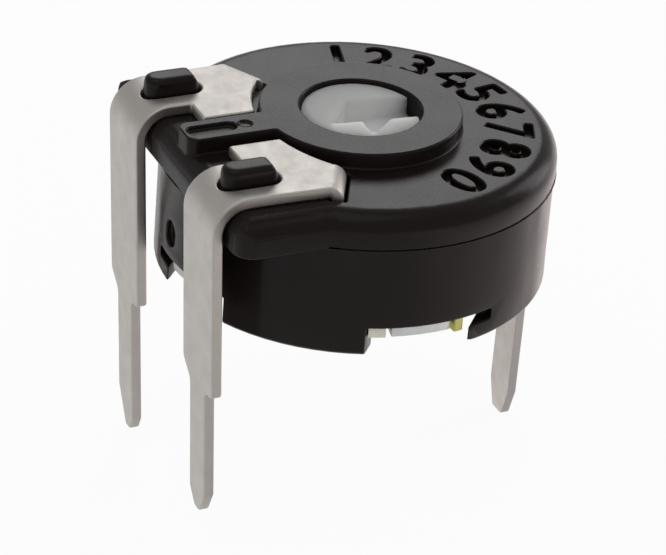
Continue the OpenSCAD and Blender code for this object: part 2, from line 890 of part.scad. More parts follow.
// The side view of the folded edge, level on the left and down into the housing on the right
module fold_side() {
    outer = fold_r + term_t;
    translate([-eps, z_top])
        square([2 * eps, term_t]);
    translate([0, z_term - outer])
        intersection() {
            difference() {
                circle(r = outer, $fn = 48);
                circle(r = fold_r, $fn = 48);
            }
            square(outer + over);
        }
    translate([fold_r, z_track])
        square([term_t, z_term - outer - z_track]);
}

// The front view of the folded edge: full width in the roof, then the contact tongue
module fold_front() {
    z_narrow = z_roof + roof_t / 2;
    polygon([[0, z_term + over], [0, z_narrow], [prong_in, z_roof + eps], [prong_in, z_track],
             [prong_out, z_track], [prong_out, z_roof], [fold_l, z_narrow], [fold_l, z_term + over]]);
}

// The folded edge of a head, on the side of the start pin
module fold() {
    translate(head_nose)
        rotate(fold_dir)
            intersection() {
                rotate([90, 0, 90])
                    linear_extrude(fold_l)
                        mirror([1, 0])
                            fold_side();
                along_y(-fold_r - term_t - over, over)
                    fold_front();
            }
}

// The head and the fold of the terminal on one side of the middle plane
module head(side) {
    mirror([0, side < 0 ? 1 : 0, 0]) {
        translate([0, 0, z_top])
            linear_extrude(term_t)
                head_outline();
        fold();
    }
}

// The terminal on the side of the start pin (1) or of the end pin (-1); its leg's front view is the child
module terminal(side) {
    color([0.78, 0.75, 0.72])
        difference() {
            union() {
                head(side);
                intersection() {
                    along_y(side * pin_y - leg_w, side * pin_y + leg_w)
                        arm_side();
                    along_x(-cap_back - over, over)
                        translate([side * pin_y, 0])
                            children();
                }
            }
            translate([0, side * pin_y, z_top - cap_edge_r])
                linear_extrude(cap_edge_r + term_t + over)
                    peg_slot();
        }
}

module start_terminal() {
    terminal(1)
        start_leg_front();
}

module end_terminal() {
    terminal(-1)
        end_leg_front();
}

housing();
rotor();
wiper();
resistor_disc();
carbon_track();
start_pad();
end_pad();
wiper_terminal();
start_terminal();
end_terminal();
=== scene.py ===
"""Looks of a single-turn trimmer potentiometer on three board pins.

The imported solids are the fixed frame. Each sub-assembly is a class that softens
the edges of its solids, adds the fine detail and gives every surface its finish.
Lengths are written in millimetres and turned into metres once, by mm(). Angles
are written in degrees.
"""

import logging
import math
from dataclasses import dataclass, replace
from enum import Enum
from typing import Any

import bmesh
import bpy
from mathutils import Matrix, Vector


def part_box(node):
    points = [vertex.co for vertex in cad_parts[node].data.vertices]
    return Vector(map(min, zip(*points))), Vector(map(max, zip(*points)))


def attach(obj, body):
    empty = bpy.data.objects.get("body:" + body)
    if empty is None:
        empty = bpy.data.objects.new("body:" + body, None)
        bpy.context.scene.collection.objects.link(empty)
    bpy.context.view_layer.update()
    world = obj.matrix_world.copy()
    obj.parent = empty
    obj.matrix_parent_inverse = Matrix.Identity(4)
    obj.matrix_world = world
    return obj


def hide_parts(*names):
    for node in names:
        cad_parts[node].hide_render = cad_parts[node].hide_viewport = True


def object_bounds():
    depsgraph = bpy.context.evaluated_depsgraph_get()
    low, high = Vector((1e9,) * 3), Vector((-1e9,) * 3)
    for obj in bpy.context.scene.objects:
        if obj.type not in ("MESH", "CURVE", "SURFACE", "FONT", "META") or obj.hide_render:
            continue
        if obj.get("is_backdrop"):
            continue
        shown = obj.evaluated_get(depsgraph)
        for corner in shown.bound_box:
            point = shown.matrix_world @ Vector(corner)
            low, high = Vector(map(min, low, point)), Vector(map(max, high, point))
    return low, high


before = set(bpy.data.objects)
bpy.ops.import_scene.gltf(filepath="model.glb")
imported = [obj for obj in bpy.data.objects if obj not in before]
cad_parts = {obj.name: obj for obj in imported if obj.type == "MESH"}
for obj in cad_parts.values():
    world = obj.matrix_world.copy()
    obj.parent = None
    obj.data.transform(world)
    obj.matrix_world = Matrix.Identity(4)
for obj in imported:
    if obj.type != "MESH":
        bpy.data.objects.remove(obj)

LOG = logging.getLogger("trimmer")
Triple = tuple[float, float, float]
Colour = Triple
X, Y, Z = range(3)
UP: Triple = (0.0, 0.0, 1.0)
LEVEL: Triple = (1.0, 1.0, 0.0)
WHITE = (1.0, 1.0, 1.0, 1.0)

# A Mix node has sockets for every kind of data, and those for colours are told by number.
MIX_FACTOR, MIX_LOW, MIX_HIGH, MIX_RESULT = 0, 6, 7, 2


def mm(length: float) -> float:
    """Returns a length in metres from millimetres."""
    return length * 0.001


class Body(Enum):
    """The two bodies that pieces ride on."""

    CASE = "case_body"
    ROTOR = "rotor_body"


class Slot(Enum):
    """The record's material slots."""

    BLACK = "black_moulding"
    WHITE = "white_moulding"
    TINNED = "tinned_sheet"
    LAMINATE = "disc_laminate"
    CARBON = "carbon_film"
    SILVER = "silver_film"
    SPRING = "spring_alloy"


# ---------------------------------------------------------------- node trees


class Value:
    """One output in a node tree, on which operators add Math nodes."""

    def __init__(self, tree: "Tree", socket: bpy.types.NodeSocket) -> None:
        """Keeps the tree that new Math nodes go into, and the output socket."""
        self.tree = tree
        self.socket = socket

    def math(self, operation: str, *others: Any, clamp: bool = False) -> "Value":
        """Adds one Math node with this value as its first input.

        Args:
            operation: the Math node's operation.
            others: the further inputs, as values or numbers.
            clamp: whether the result is kept between 0 and 1.

        Returns:
            The Math node's result.
        """
        settings = {"operation": operation, "use_clamp": clamp}
        inputs = dict(enumerate((self, *others)))
        return self.tree.out(self.tree.node("ShaderNodeMath", settings, inputs))

    def __add__(self, other: Any) -> "Value":
        """Returns self + other."""
        return self.math("ADD", other)

    def __radd__(self, other: Any) -> "Value":
        """Returns other + self."""
        return self.math("ADD", other)

    def __sub__(self, other: Any) -> "Value":
        """Returns self - other."""
        return self.math("SUBTRACT", other)

    def __rsub__(self, other: Any) -> "Value":
        """Returns other - self."""
        return (self * -1.0).math("ADD", other)

    def __mul__(self, other: Any) -> "Value":
        """Returns self * other."""
        return self.math("MULTIPLY", other)

    def __rmul__(self, other: Any) -> "Value":
        """Returns other * self."""
        return self.math("MULTIPLY", other)

    def above(self, edge: float, soft: float) -> "Value":
        """Returns a mask that rises from 0 to 1 around an edge, over soft on either side of it."""
        return self.math("SUBTRACT", edge - soft).math("DIVIDE", 2 * soft, clamp=True)

    def below(self, edge: float, soft: float) -> "Value":
        """Returns a mask that falls from 1 to 0 around an edge, over soft on either side of it."""
        return 1.0 - self.above(edge, soft)

    def swing(self, amount: float) -> "Value":
        """Returns noise from 0 to 1 as a change from minus to plus half an amount."""
        return (self - 0.5) * amount


class Tree:
    """A node tree, with one method that makes any node."""

    def __init__(self, nodes: bpy.types.NodeTree) -> None:
        """Keeps the shader or geometry node tree that is built."""
        self.nodes = nodes

    @classmethod
    def of(cls, owner: bpy.types.Material | bpy.types.World) -> "Tree":
        """Empties the shader tree of a new material or world.

        Args:
            owner: the material or world.

        Returns:
            Its tree.
        """
        owner.use_nodes = True
        owner.node_tree.nodes.clear()
        return cls(owner.node_tree)

    def node(
        self, kind: str, settings: dict[str, Any] | None = None, inputs: dict[Any, Any] | None = None
    ) -> bpy.types.Node:
        """Adds a node, sets it, then sets or links its sockets.

        Args:
            kind: the node's type.
            settings: the node's own properties, set before its sockets.
            inputs: values or links by socket name or number.

        Returns:
            The new node.
        """
        node = self.nodes.nodes.new(kind)
        for name, value in (settings or {}).items():
            setattr(node, name, value)
        for key, value in (inputs or {}).items():
            self.feed(node.inputs[key], value)
        return node

    def feed(self, socket: bpy.types.NodeSocket, value: Any) -> None:
        """Links a value to an input socket, or sets its number.

        Args:
            socket: the input socket.
            value: a Value, an output socket, or a plain number or colour.
        """
        if isinstance(value, Value):
            self.nodes.links.new(value.socket, socket)
        elif isinstance(value, bpy.types.NodeSocket):
            self.nodes.links.new(value, socket)
        else:
            socket.default_value = value

    def out(self, node: bpy.types.Node, key: Any = 0) -> Value:
        """Returns an output of a node, by its name or number, as a value."""
        return Value(self, node.outputs[key])

    def mix(self, factor: Any, low: Any, high: Any) -> Value:
        """Mixes two colours.

        Args:
            factor: 0 for the first colour and 1 for the second.
            low: the first colour, as a value or as three numbers.
            high: the second colour.

        Returns:
            The mixed colour.
        """
        ends = [value if isinstance(value, Value) else (*value, 1.0) for value in (low, high)]
        inputs = {MIX_FACTOR: factor, MIX_LOW: ends[0], MIX_HIGH: ends[1]}
        return self.out(self.node("ShaderNodeMix", {"data_type": "RGBA"}, inputs), MIX_RESULT)

    def place(self, centre: Vector | Triple = (0, 0, 0)) -> Value:
        """Reads Object coordinates from a point.

        Args:
            centre: the point, in metres.

        Returns:
            The vector from the point.
        """
        coordinates = self.out(self.node("ShaderNodeTexCoord"), "Object")
        shift = tuple(-value for value in centre)
        return self.out(self.node("ShaderNodeMapping", None, {"Vector": coordinates, "Location": shift}))

    def scaled(self, vector: Value, scale: Triple) -> Value:
        """Returns a vector that is scaled along each axis."""
        return self.out(self.node("ShaderNodeMapping", None, {"Vector": vector, "Scale": scale}))

    def axes(self, vector: Value) -> tuple[Value, Value, Value]:
        """Returns the X, Y and Z parts of a vector."""
        node = self.node("ShaderNodeSeparateXYZ", None, {0: vector})
        return tuple(self.out(node, axis) for axis in (X, Y, Z))

    def along(self, axis: int, length: Any) -> Value:
        """Returns a vector along one axis."""
        return self.out(self.node("ShaderNodeCombineXYZ", None, {axis: length}))

    def noise(self, vector: Value, size: float, detail: float = 3.0, rough: float = 0.55) -> Value:
        """Returns smooth noise from 0 to 1, given its spots' size and its finer layers."""
        inputs = {"Vector": vector, "Scale": 1 / mm(size), "Detail": detail, "Roughness": rough}
        return self.out(self.node("ShaderNodeTexNoise", None, inputs))

    def vector(self, operation: str, *parts: Any) -> Value:
        """Returns the result of vector maths on vectors, or on a vector and a value."""
        inputs = dict(enumerate(parts))
        return self.out(self.node("ShaderNodeVectorMath", {"operation": operation}, inputs))

    def length(self, vector: Value) -> Value:
        """Returns the length of a vector."""
        return self.out(self.node("ShaderNodeVectorMath", {"operation": "LENGTH"}, {0: vector}), "Value")

    def bump(self, height: Value, depth: float, normal: Value | None = None) -> Value:
        """Bends the normal of a surface as a height on it would.

        Args:
            height: the height, from 0 to 1.
            depth: the depth of a full step, in millimetres.
            normal: the normal that it adds to, if any.

        Returns:
            The bent normal.
        """
        inputs: dict[str, Any] = {"Height": height, "Distance": mm(depth), "Strength": 1.0}
        if normal is not None:
            inputs["Normal"] = normal
        return self.out(self.node("ShaderNodeBump", None, inputs))


# ---------------------------------------------------------------- finishes


@dataclass(frozen=True)
class Finish:
    """What all finishes share: a slot, a colour and the shader's fixed numbers.

    Attributes:
        slot: the record's slot that the finish is for.
        colour, roughness, metallic, specular, ior: the shader's own values.
        subsurface: how much of the light goes through the skin.
        subsurface_reach, subsurface_colour: how far it goes, and the share of each of its colours.
    """

    slot: Slot
    colour: Colour
    roughness: float
    metallic: float = 0.0
    specular: float = 0.5
    ior: float = 1.5
    subsurface: float = 0.0
    subsurface_reach: float = 0.4
    subsurface_colour: Colour = (1.0, 0.98, 0.95)

    def material(self) -> bpy.types.Material:
        """Makes the finish.

        Returns:
            A new material.
        """
        colour = (*self.colour, 1.0)
        material = bpy.data.materials.new(self.slot.value)
        material.diffuse_color = colour
        tree = Tree.of(material)
        constants = {
            "Base Color": colour,
            "Roughness": self.roughness,
            "Metallic": self.metallic,
            "Specular IOR Level": self.specular,
            "IOR": self.ior,
            "Subsurface Weight": self.subsurface,
            "Subsurface Scale": mm(self.subsurface_reach),
            "Subsurface Radius": self.subsurface_colour,
        }
        surface = tree.node("ShaderNodeBsdfPrincipled", None, constants)
        for name, value in self.texture(tree).items():
            tree.feed(surface.inputs[name], value)
        tree.node("ShaderNodeOutputMaterial", None, {"Surface": surface.outputs[0]})
        return material

    def texture(self, tree: Tree) -> dict[str, Value]:
        """Returns what changes over the surface, by the shader's socket. A plain finish has nothing."""
        return {}


@dataclass(frozen=True)
class BlackMoulding(Finish):
    """Satin black thermoplastic, straight from the mould.

    Attributes:
        worn, worn_share: the colour of the clouds, and how far they go towards it.
        cloud, grain, flow: the sizes of the clouds, the moulded grain and the skin's slow waves.
        cloud_gloss, grain_gloss: how much the clouds and the grain change the roughness.
        grain_depth, flow_depth: the depths of the grain and the waves.
    """

    worn: Colour = (0.014, 0.0092, 0.0086)
    worn_share: float = 0.35
    cloud: float = 1.6
    cloud_gloss: float = 0.12
    grain: float = 0.07
    grain_gloss: float = 0.1
    grain_depth: float = 0.0016
    flow: float = 0.8
    flow_depth: float = 0.004

    def texture(self, tree: Tree) -> dict[str, Value]:
        """Adds faint clouds, a fine moulded grain and slow waves of the skin.

        Args:
            tree: the material's tree.

        Returns:
            What feeds each socket.
        """
        place = tree.place()
        cloud = tree.noise(place, self.cloud, detail=4.0)
        grain = tree.noise(place, self.grain, detail=2.0, rough=0.7)
        clouded = cloud.above(0.5, soft=0.3) * self.worn_share
        skin = tree.bump(tree.noise(place, self.flow, detail=1.0), self.flow_depth)
        return {
            "Base Color": tree.mix(clouded, self.colour, self.worn),
            "Roughness": self.roughness + cloud.swing(self.cloud_gloss) + grain.swing(self.grain_gloss),
            "Normal": tree.bump(grain, self.grain_depth, skin),
        }


@dataclass(frozen=True)
class WhiteMoulding(Finish):
    """Milky translucent thermoplastic that lets light in; its colour is also painted lighter below its top,
    a painted glow.

    Attributes:
        dull: the colour of the flow clouds.
        glow, skin: the painted glow, a lighter colour for all that lies below the top, and half the depth
            over which it sets in.
        cloud, grain: the sizes of the clouds and of the soft skin's waves.
        cloud_gloss: how much the clouds change the roughness.
        grain_depth: the depth of the skin's waves.
    """

    dull: Colour = (0.355, 0.364, 0.352)
    # painted glow: nearly twice as light as the milky colour, given to all below the rotor's top
    glow: Colour = (0.74, 0.75, 0.73)
    skin: float = 0.22
    cloud: float = 0.9
    cloud_gloss: float = 0.15
    grain: float = 0.25
    grain_depth: float = 0.004

    def texture(self, tree: Tree) -> dict[str, Value]:
        """Adds faint flow clouds, the painted glow under the rotor's top and a soft skin.

        Args:
            tree: the material's tree.

        Returns:
            What feeds each socket.
        """
        place = tree.place()
        cloud = tree.noise(place, self.cloud)
        clouded = tree.mix(cloud.above(0.5, soft=0.3), self.colour, self.dull)
        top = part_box("rotor")[1].z
        # painted glow: everything lower than the top's skin takes the lighter glow colour, as painted light
        painted_glow_share = tree.axes(place)[Z].below(top - mm(self.skin), soft=mm(self.skin))
        return {
            "Base Color": tree.mix(painted_glow_share, clouded, self.glow),
            "Roughness": self.roughness + cloud.swing(self.cloud_gloss),
            "Normal": tree.bump(tree.noise(place, self.grain, detail=2.0), self.grain_depth),
        }


@dataclass(frozen=True)
class TinnedSheet(Finish):
    """Dull tin plate with fine rolling lines and darker sheared sides.

    Attributes:
        dull: the colour of the plating's clouds.
        spot, line: the sizes of the clouds and the rolling lines.
        line_stretch: the lines' scale along Z, so that they are long.
        spot_gloss, line_gloss: how much each changes the roughness.
        spot_depth, line_depth: the depth of each.
        cut: the colour of the sheared sides.
        rim, rim_above, rim_blend: their colour above a height, if given, and half the change's width.
        bare, bare_place, bare_radius, bare_blend: the bare metal round a place, in metres, if given.
    """

    dull: Colour = (0.475, 0.449, 0.421)
    spot: float = 0.5
    spot_gloss: float = 0.2
    spot_depth: float = 0.004
    line: float = 0.05
    line_stretch: float = 0.08
    line_gloss: float = 0.12
    line_depth: float = 0.0012
    cut: Colour = (0.38, 0.353, 0.33)
    rim: Colour = (0.475, 0.5, 0.495)
    rim_above: float | None = None
    rim_blend: float = 0.1
    bare: Colour = (0.38, 0.38, 0.14)
    bare_place: Vector | None = None
    bare_radius: float = 0.34
    bare_blend: float = 0.04

    def texture(self, tree: Tree) -> dict[str, Value]:
        """Adds the plating's clouds, the rolling lines, the sheared sides and the bare place.

        Args:
            tree: the material's tree.

        Returns:
            What feeds each socket.
        """
        place = tree.place()
        cloud = tree.noise(place, self.spot, detail=4.0, rough=0.6)
        lines = tree.noise(tree.scaled(place, (1.0, 1.0, self.line_stretch)), self.line, detail=2.0)
        colour = tree.mix(cloud.above(0.52, soft=0.22), self.colour, self.dull)
        side = self.cut
        if self.rim_above is not None:
            upper = tree.axes(place)[Z].above(mm(self.rim_above), soft=mm(self.rim_blend))
            side = tree.mix(upper, self.cut, self.rim)
        facing = tree.out(tree.node("ShaderNodeTexCoord"), "Normal")
        sheared = tree.axes(facing)[Y].math("ABSOLUTE").above(0.8, soft=0.15)
        colour = tree.mix(sheared, colour, side)
        if self.bare_place is not None:
            reach = tree.length(tree.place(self.bare_place))
            near = reach.below(mm(self.bare_radius), soft=mm(self.bare_blend))
            colour = tree.mix(near, colour, self.bare)
        return {
            "Base Color": colour,
            "Roughness": self.roughness + cloud.swing(self.spot_gloss) + lines.swing(self.line_gloss),
            "Normal": tree.bump(lines, self.line_depth, tree.bump(cloud, self.spot_depth)),
        }


@dataclass(frozen=True)
class Laminate(Finish):
    """Punched paper laminate with fibres that lie along the sheet.

    Attributes:
        fibre, flatness: the fibres' size, and how many times flatter they are than long.
        fibre_colour, fibre_share: their colour, and how far the sheet goes towards it.
        fibre_gloss, fibre_depth: how much they change the roughness, and their depth.
    """

    fibre: float = 0.35
    flatness: float = 6.0
    fibre_colour: Colour = (0.7, 0.63, 0.48)
    fibre_share: float = 0.6
    fibre_gloss: float = 0.2
    fibre_depth: float = 0.01

    def texture(self, tree: Tree) -> dict[str, Value]:
        """Adds the fibres.

        Args:
            tree: the material's tree.

        Returns:
            What feeds each socket.
        """
        flat = tree.scaled(tree.place(), (1.0, 1.0, self.flatness))
        fibres = tree.noise(flat, self.fibre, detail=4.0, rough=0.65)
        shown = fibres.above(0.55, soft=0.2) * self.fibre_share
        return {
            "Base Color": tree.mix(shown, self.colour, self.fibre_colour),
            "Roughness": self.roughness + fibres.swing(self.fibre_gloss),
            "Normal": tree.bump(fibres, self.fibre_depth),
        }


@dataclass(frozen=True)
class PrintedFilm(Finish):
    """A printed film, carbon or silver, with the grain of its paste.

    Attributes:
        grain, grain_depth: the grain's size and depth.
        grain_gloss: how much it changes the roughness.
        dark_share: how bright its darkest spots are, as a share of the colour.
    """

    grain: float = 0.06
    grain_depth: float = 0.003
    grain_gloss: float = 0.2
    dark_share: float = 0.7

    def texture(self, tree: Tree) -> dict[str, Value]:
        """Adds the grain.

        Args:
            tree: the material's tree.

        Returns:
            What feeds each socket.
        """
        grain = tree.noise(tree.place(), self.grain, rough=0.7)
        shade = tuple(channel * self.dark_share for channel in self.colour)
        return {
            "Base Color": tree.mix(grain.above(0.5, soft=0.25), self.colour, shade),
            "Roughness": self.roughness + grain.swing(self.grain_gloss),
            "Normal": tree.bump(grain, self.grain_depth),
        }


@dataclass(frozen=True)
class SpringSheet(PrintedFilm):
    """Bright rolled spring alloy, whose grain is finer than a film's."""

    grain_depth: float = 0.0015
    dark_share: float = 0.9


# ---------------------------------------------------------------- meshes


def solid_copy(node: str, name: str) -> bpy.types.Object:
    """Copies a solid, without its material.

    Args:
        node: the solid's name.
        name: the name of the copy.

    Returns:
        The copy, at the origin.
    """
    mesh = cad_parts[node].data.copy()
    mesh.materials.clear()
    piece = bpy.data.objects.new(name, mesh)
    bpy.context.scene.collection.objects.link(piece)
    return piece


def finished_mesh(piece: bpy.types.Object) -> bpy.types.Mesh:
    """Returns a new plain mesh of a piece with its modifiers applied."""
    view = bpy.context.evaluated_depsgraph_get()
    return bpy.data.meshes.new_from_object(piece.evaluated_get(view))


@dataclass(frozen=True)
class Softening:
    """How the outer edges of a solid are rounded.

    Attributes:
        width, segments: the size of the rounding and its number of faces across.
        edge_angle: the least angle of an edge that is rounded.
        merge: the distance within which corners are one.
        flat_angle: the largest angle within a face that counts as flat.
    """

    width: float
    segments: int = 3
    edge_angle: float = 32.0
    merge: float = 0.002
    flat_angle: float = 0.6

    def copy(self, node: str, name: str) -> bpy.types.Object:
        """Makes a copy of a solid with merged corners and soft edges.

        Args:
            node: the solid's name.
            name: the name of the copy.

        Returns:
            The copy, at the origin, with its modifier live.
        """
        piece = solid_copy(node, name)
        made = bmesh.new()
        made.from_mesh(piece.data)
        bmesh.ops.remove_doubles(made, verts=made.verts, dist=mm(self.merge))
        bmesh.ops.dissolve_limit(
            made, angle_limit=math.radians(self.flat_angle), verts=made.verts, edges=made.edges,
            use_dissolve_boundaries=False,
        )
        made.to_mesh(piece.data)
        made.free()
        old_normals = piece.data.attributes.get("custom_normal")
        if old_normals:  # they suit only the flat faces of the solid
            piece.data.attributes.remove(old_normals)
        bevel = piece.modifiers.new("soft edges", "BEVEL")
        bevel.width = mm(self.width)
        bevel.segments = self.segments
        bevel.limit_method = "ANGLE"
        bevel.angle_limit = math.radians(self.edge_angle)
        bevel.miter_outer = "MITER_ARC"
        bevel.use_clamp_overlap = False
        bevel.loop_slide = False
        return piece


@dataclass(frozen=True)
class Melting:
    """How every edge of a moulding is rounded alike, hollow ones too.

    Attributes:
        grid: the spacing of the even grid that the solid is remade on.
        passes: how many times the grid is smoothed.
    """

    grid: float = 0.045
    passes: int = 12

    def copy(self, node: str, name: str) -> bpy.types.Object:
        """Makes a copy of a solid on a fine even grid, with its edges melted away.

        Args:
            node: the solid's name.
            name: the name of the copy.

        Returns:
            The copy, at the origin, with its modifiers live.
        """
        piece = solid_copy(node, name)
        even = piece.modifiers.new("even grid", "REMESH")
        even.mode = "VOXEL"
        even.voxel_size = mm(self.grid)
        even.use_smooth_shade = True
        melt = piece.modifiers.new("melted edges", "SMOOTH")
        melt.factor = 0.5
        melt.iterations = self.passes
        return piece


def settle(piece: bpy.types.Object) -> bpy.types.Object:
    """Shades a piece smooth, with its flat faces kept flat, and applies its modifiers.

    Args:
        piece: the piece to finish.

    Returns:
        The same piece, as a plain mesh.
    """
    for polygon in piece.data.polygons:
        polygon.use_smooth = True
    weighted = piece.modifiers.new("flat faces stay flat", "WEIGHTED_NORMAL")
    weighted.keep_sharp = True
    weighted.weight = 100
    mesh = finished_mesh(piece)
    piece.modifiers.clear()
    old = piece.data
    piece.data = mesh
    mesh.name = piece.name
    bpy.data.meshes.remove(old)
    return piece


def dress(piece: bpy.types.Object, material: bpy.types.Material) -> None:
    """Gives a piece or solid one material."""
    piece.data.materials.clear()
    piece.data.materials.append(material)


def hand_over(piece: bpy.types.Object, body: Body, node: str) -> None:
    """Says what a new piece rides on and what it stands for.

    Args:
        piece: the finished piece.
        body: the body it rides on.
        node: the solid that it replaces.
    """
    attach(piece, body.value)
    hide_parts(node)
    LOG.info("%s: %d faces, rides on %s", piece.name, len(piece.data.polygons), body.value)


@dataclass(frozen=True)
class Pegs:
    """The two pegs that hold the terminals' arms, pressed round at the top.

    Attributes:
        inner, aside: they stand further than this from the axis along -X, and from the middle plane.
        root: what stands above this height there is a peg.
        foot, stub: where the round tops begin, and where the housing's own pegs are cut off.
        merge: the distance within which corners are one.
        melting: how the tops are pressed round.
    """

    inner: float = 3.2
    aside: float = 1.2
    root: float = 5.53
    foot: float = 5.58
    stub: float = 5.68
    merge: float = 0.002
    melting: Melting = Melting(grid=0.032, passes=40)

    def faces(self, made: bmesh.types.BMesh) -> list[bmesh.types.BMFace]:
        """Finds the faces of the pegs.

        Args:
            made: the housing's mesh.

        Returns:
            The faces, in the mesh's order.
        """
        found = []
        for face in made.faces:
            centre = face.calc_center_median()
            if centre.z > mm(self.root) and centre.x < -mm(self.inner) and abs(centre.y) > mm(self.aside):
                found.append(face)
        return found

    def cut(self, made: bmesh.types.BMesh, height: float, top_goes: bool) -> None:
        """Cuts the pegs off level and closes the cut.

        Args:
            made: the mesh that is edited.
            height: the height of the cut.
            top_goes: whether the part above the cut is the one that goes.
        """
        parts = [part for face in self.faces(made) for part in (face, *face.edges, *face.verts)]
        bmesh.ops.bisect_plane(
            made, geom=list(dict.fromkeys(parts)), plane_co=(0, 0, mm(height)), plane_no=UP,
            clear_outer=top_goes, clear_inner=not top_goes,
        )
        bmesh.ops.holes_fill(made, edges=[edge for edge in made.edges if edge.is_boundary])

    def tops(self) -> bpy.types.Mesh:
        """Makes the upper parts of both pegs, melted round.

        Returns:
            Their mesh.
        """
        piece = self.melting.copy("housing", "peg_tops")
        made = bmesh.new()
        made.from_mesh(piece.data)
        bmesh.ops.remove_doubles(made, verts=made.verts, dist=mm(self.merge))
        kept = set(self.faces(made))
        others = [face for face in made.faces if face not in kept]
        bmesh.ops.delete(made, geom=others, context="FACES")
        self.cut(made, self.foot, top_goes=False)
        made.to_mesh(piece.data)
        made.free()
        mesh = settle(piece).data
        bpy.data.objects.remove(piece)
        return mesh

    def press(self, housing: bpy.types.Object) -> None:
        """Puts the melted tops in the place of the housing's own.

        Args:
            housing: the housing, before its modifiers are applied.
        """
        tops = self.tops()
        made = bmesh.new()
        made.from_mesh(housing.data)
        self.cut(made, self.stub, top_goes=True)
        made.from_mesh(tops)
        made.to_mesh(housing.data)
        made.free()
        bpy.data.meshes.remove(tops)


@dataclass(frozen=True)
class Figures:
    """Plain figures sunk in a flat top, one after another round the axis.

    Attributes:
        text, size: the figures and the size of their type.
        middle: the radius of the circle that their middles stand on.
        first, step: the first figure's angle from +X and the angle from one to the next.
        surface, depth: the height of the top, and how deep the figures are sunk in it.
        heavier: how far each outline is moved outwards.
        rim: the width and depth of the slope round each figure.
        spacing: the distance between an outline's points.
        merge: the distance within which points are one.
    """

    text: str = "1234567890"
    size: float = 1.72
    middle: float = 3.8
    first: float = 74.0
    step: float = 16.3
    surface: float = 5.51
    depth: float = 0.2
    heavier: float = 0.035
    rim: float = 0.03
    spacing: float = 0.05
    merge: float = 0.001

    def tree(self) -> bpy.types.GeometryNodeTree:
        """Builds the tree that sets figures round the axis and draws them out into solids.

        Returns:
            The tree, with named inputs for its sizes.
        """
        nodes = bpy.data.node_groups.new("figures round the axis", "GeometryNodeTree")
        sockets = nodes.interface
        sockets.new_socket("Text", in_out="INPUT", socket_type="NodeSocketString")
        for name in ("Size", "Radius", "First Angle", "Angle Step", "Bottom", "Wall", "Rim", "Heavier"):
            sockets.new_socket(name, in_out="INPUT", socket_type="NodeSocketFloat")
        sockets.new_socket("Material", in_out="INPUT", socket_type="NodeSocketMaterial")
        sockets.new_socket("Geometry", in_out="OUTPUT", socket_type="NodeSocketGeometry")
        tree = Tree(nodes)
        given = tree.node("NodeGroupInput")
        value = {socket.name: tree.out(given, socket.name) for socket in given.outputs if socket.name}
        solid = self.solid(tree, value, self.outline(tree, value))
        real = tree.node("GeometryNodeRealizeInstances", None, {0: solid})
        inputs = {"Geometry": real.outputs[0], "Material": value["Material"]}
        done = tree.node("GeometryNodeSetMaterial", None, inputs)
        tree.node("NodeGroupOutput", None, {0: done.outputs[0]})
        return nodes

    def solid(self, tree: Tree, value: dict[str, Value], outline: Value) -> Value:
        """Adds the solids: upright walls, then a slope that ends above the surface, and a lid on it.

        Args:
            tree: the tree that is built.
            value: the tree's inputs by name.
            outline: the figures' outlines.

        Returns:
            The closed solids.
        """
        flat = tree.node("GeometryNodeFillCurve", {"mode": "TRIANGLES"}, {0: outline})
        inputs = {"Geometry": flat.outputs[0], "Offset": tree.along(Z, value["Bottom"])}
        floor = tree.node("GeometryNodeSetPosition", None, inputs)
        wall = self.drawn_out(tree, tree.out(floor), value["Wall"])
        flared = self.drawn_out(tree, tree.out(wall), value["Rim"], tree.out(wall, "Top"))
        facing = tree.out(tree.node("GeometryNodeInputNormal"))
        aside = tree.vector("NORMALIZE", tree.vector("MULTIPLY", facing, LEVEL))
        inputs = {
            "Geometry": flared.outputs[0], "Selection": flared.outputs["Top"],
            "Offset": tree.vector("MULTIPLY", aside, value["Rim"]),
        }
        wide = tree.out(tree.node("GeometryNodeSetPosition", None, inputs))
        lid = self.drawn_out(tree, wide, value["Rim"], tree.out(flared, "Top"))
        under = tree.node("GeometryNodeFlipFaces", None, {0: floor.outputs[0]})
        joined = tree.node("GeometryNodeJoinGeometry")
        for part in (lid, under):
            tree.feed(joined.inputs[0], part.outputs[0])
        inputs = {"Geometry": joined.outputs[0], "Distance": mm(self.merge)}
        return tree.out(tree.node("GeometryNodeMergeByDistance", None, inputs))

    def outline(self, tree: Tree, value: dict[str, Value]) -> Value:
        """Adds the figures' outlines, turned to face outwards and made heavier.

        Args:
            tree: the tree that is built.
            value: the tree's inputs by name.

        Returns:
            The outlines.
        """
        inputs = {"String": value["Text"], "Size": value["Size"]}
        letters = tree.node("GeometryNodeStringToCurves", {"pivot_mode": "MIDPOINT"}, inputs)
        number = tree.out(tree.node("GeometryNodeInputIndex"))
        turn = tree.along(Z, value["First Angle"] - number * value["Angle Step"] - math.radians(90))
        start = tree.vector("SUBTRACT", tree.along(Y, value["Radius"]), tree.out(letters, "Pivot Point"))
        inputs = {"Vector": start, "Rotation": turn}
        place = tree.node("ShaderNodeVectorRotate", {"rotation_type": "EULER_XYZ"}, inputs)
        inputs = {"Geometry": letters.outputs[0], "Position": place.outputs[0]}
        placed = tree.node("GeometryNodeSetPosition", None, inputs)
        inputs = {"Instances": placed.outputs[0], "Rotation": turn}
        turned = tree.node("GeometryNodeRotateInstances", None, inputs)
        real = tree.node("GeometryNodeRealizeInstances", None, {0: turned.outputs[0]})
        inputs = {"Curve": real.outputs[0], "Length": mm(self.spacing)}
        even = tree.node("GeometryNodeResampleCurve", {"mode": "LENGTH"}, inputs)
        forward = tree.out(tree.node("GeometryNodeInputTangent"))
        outwards = tree.vector("MULTIPLY", tree.vector("CROSS_PRODUCT", forward, UP), value["Heavier"])
        inputs = {"Geometry": even.outputs[0], "Offset": outwards}
        return tree.out(tree.node("GeometryNodeSetPosition", None, inputs))

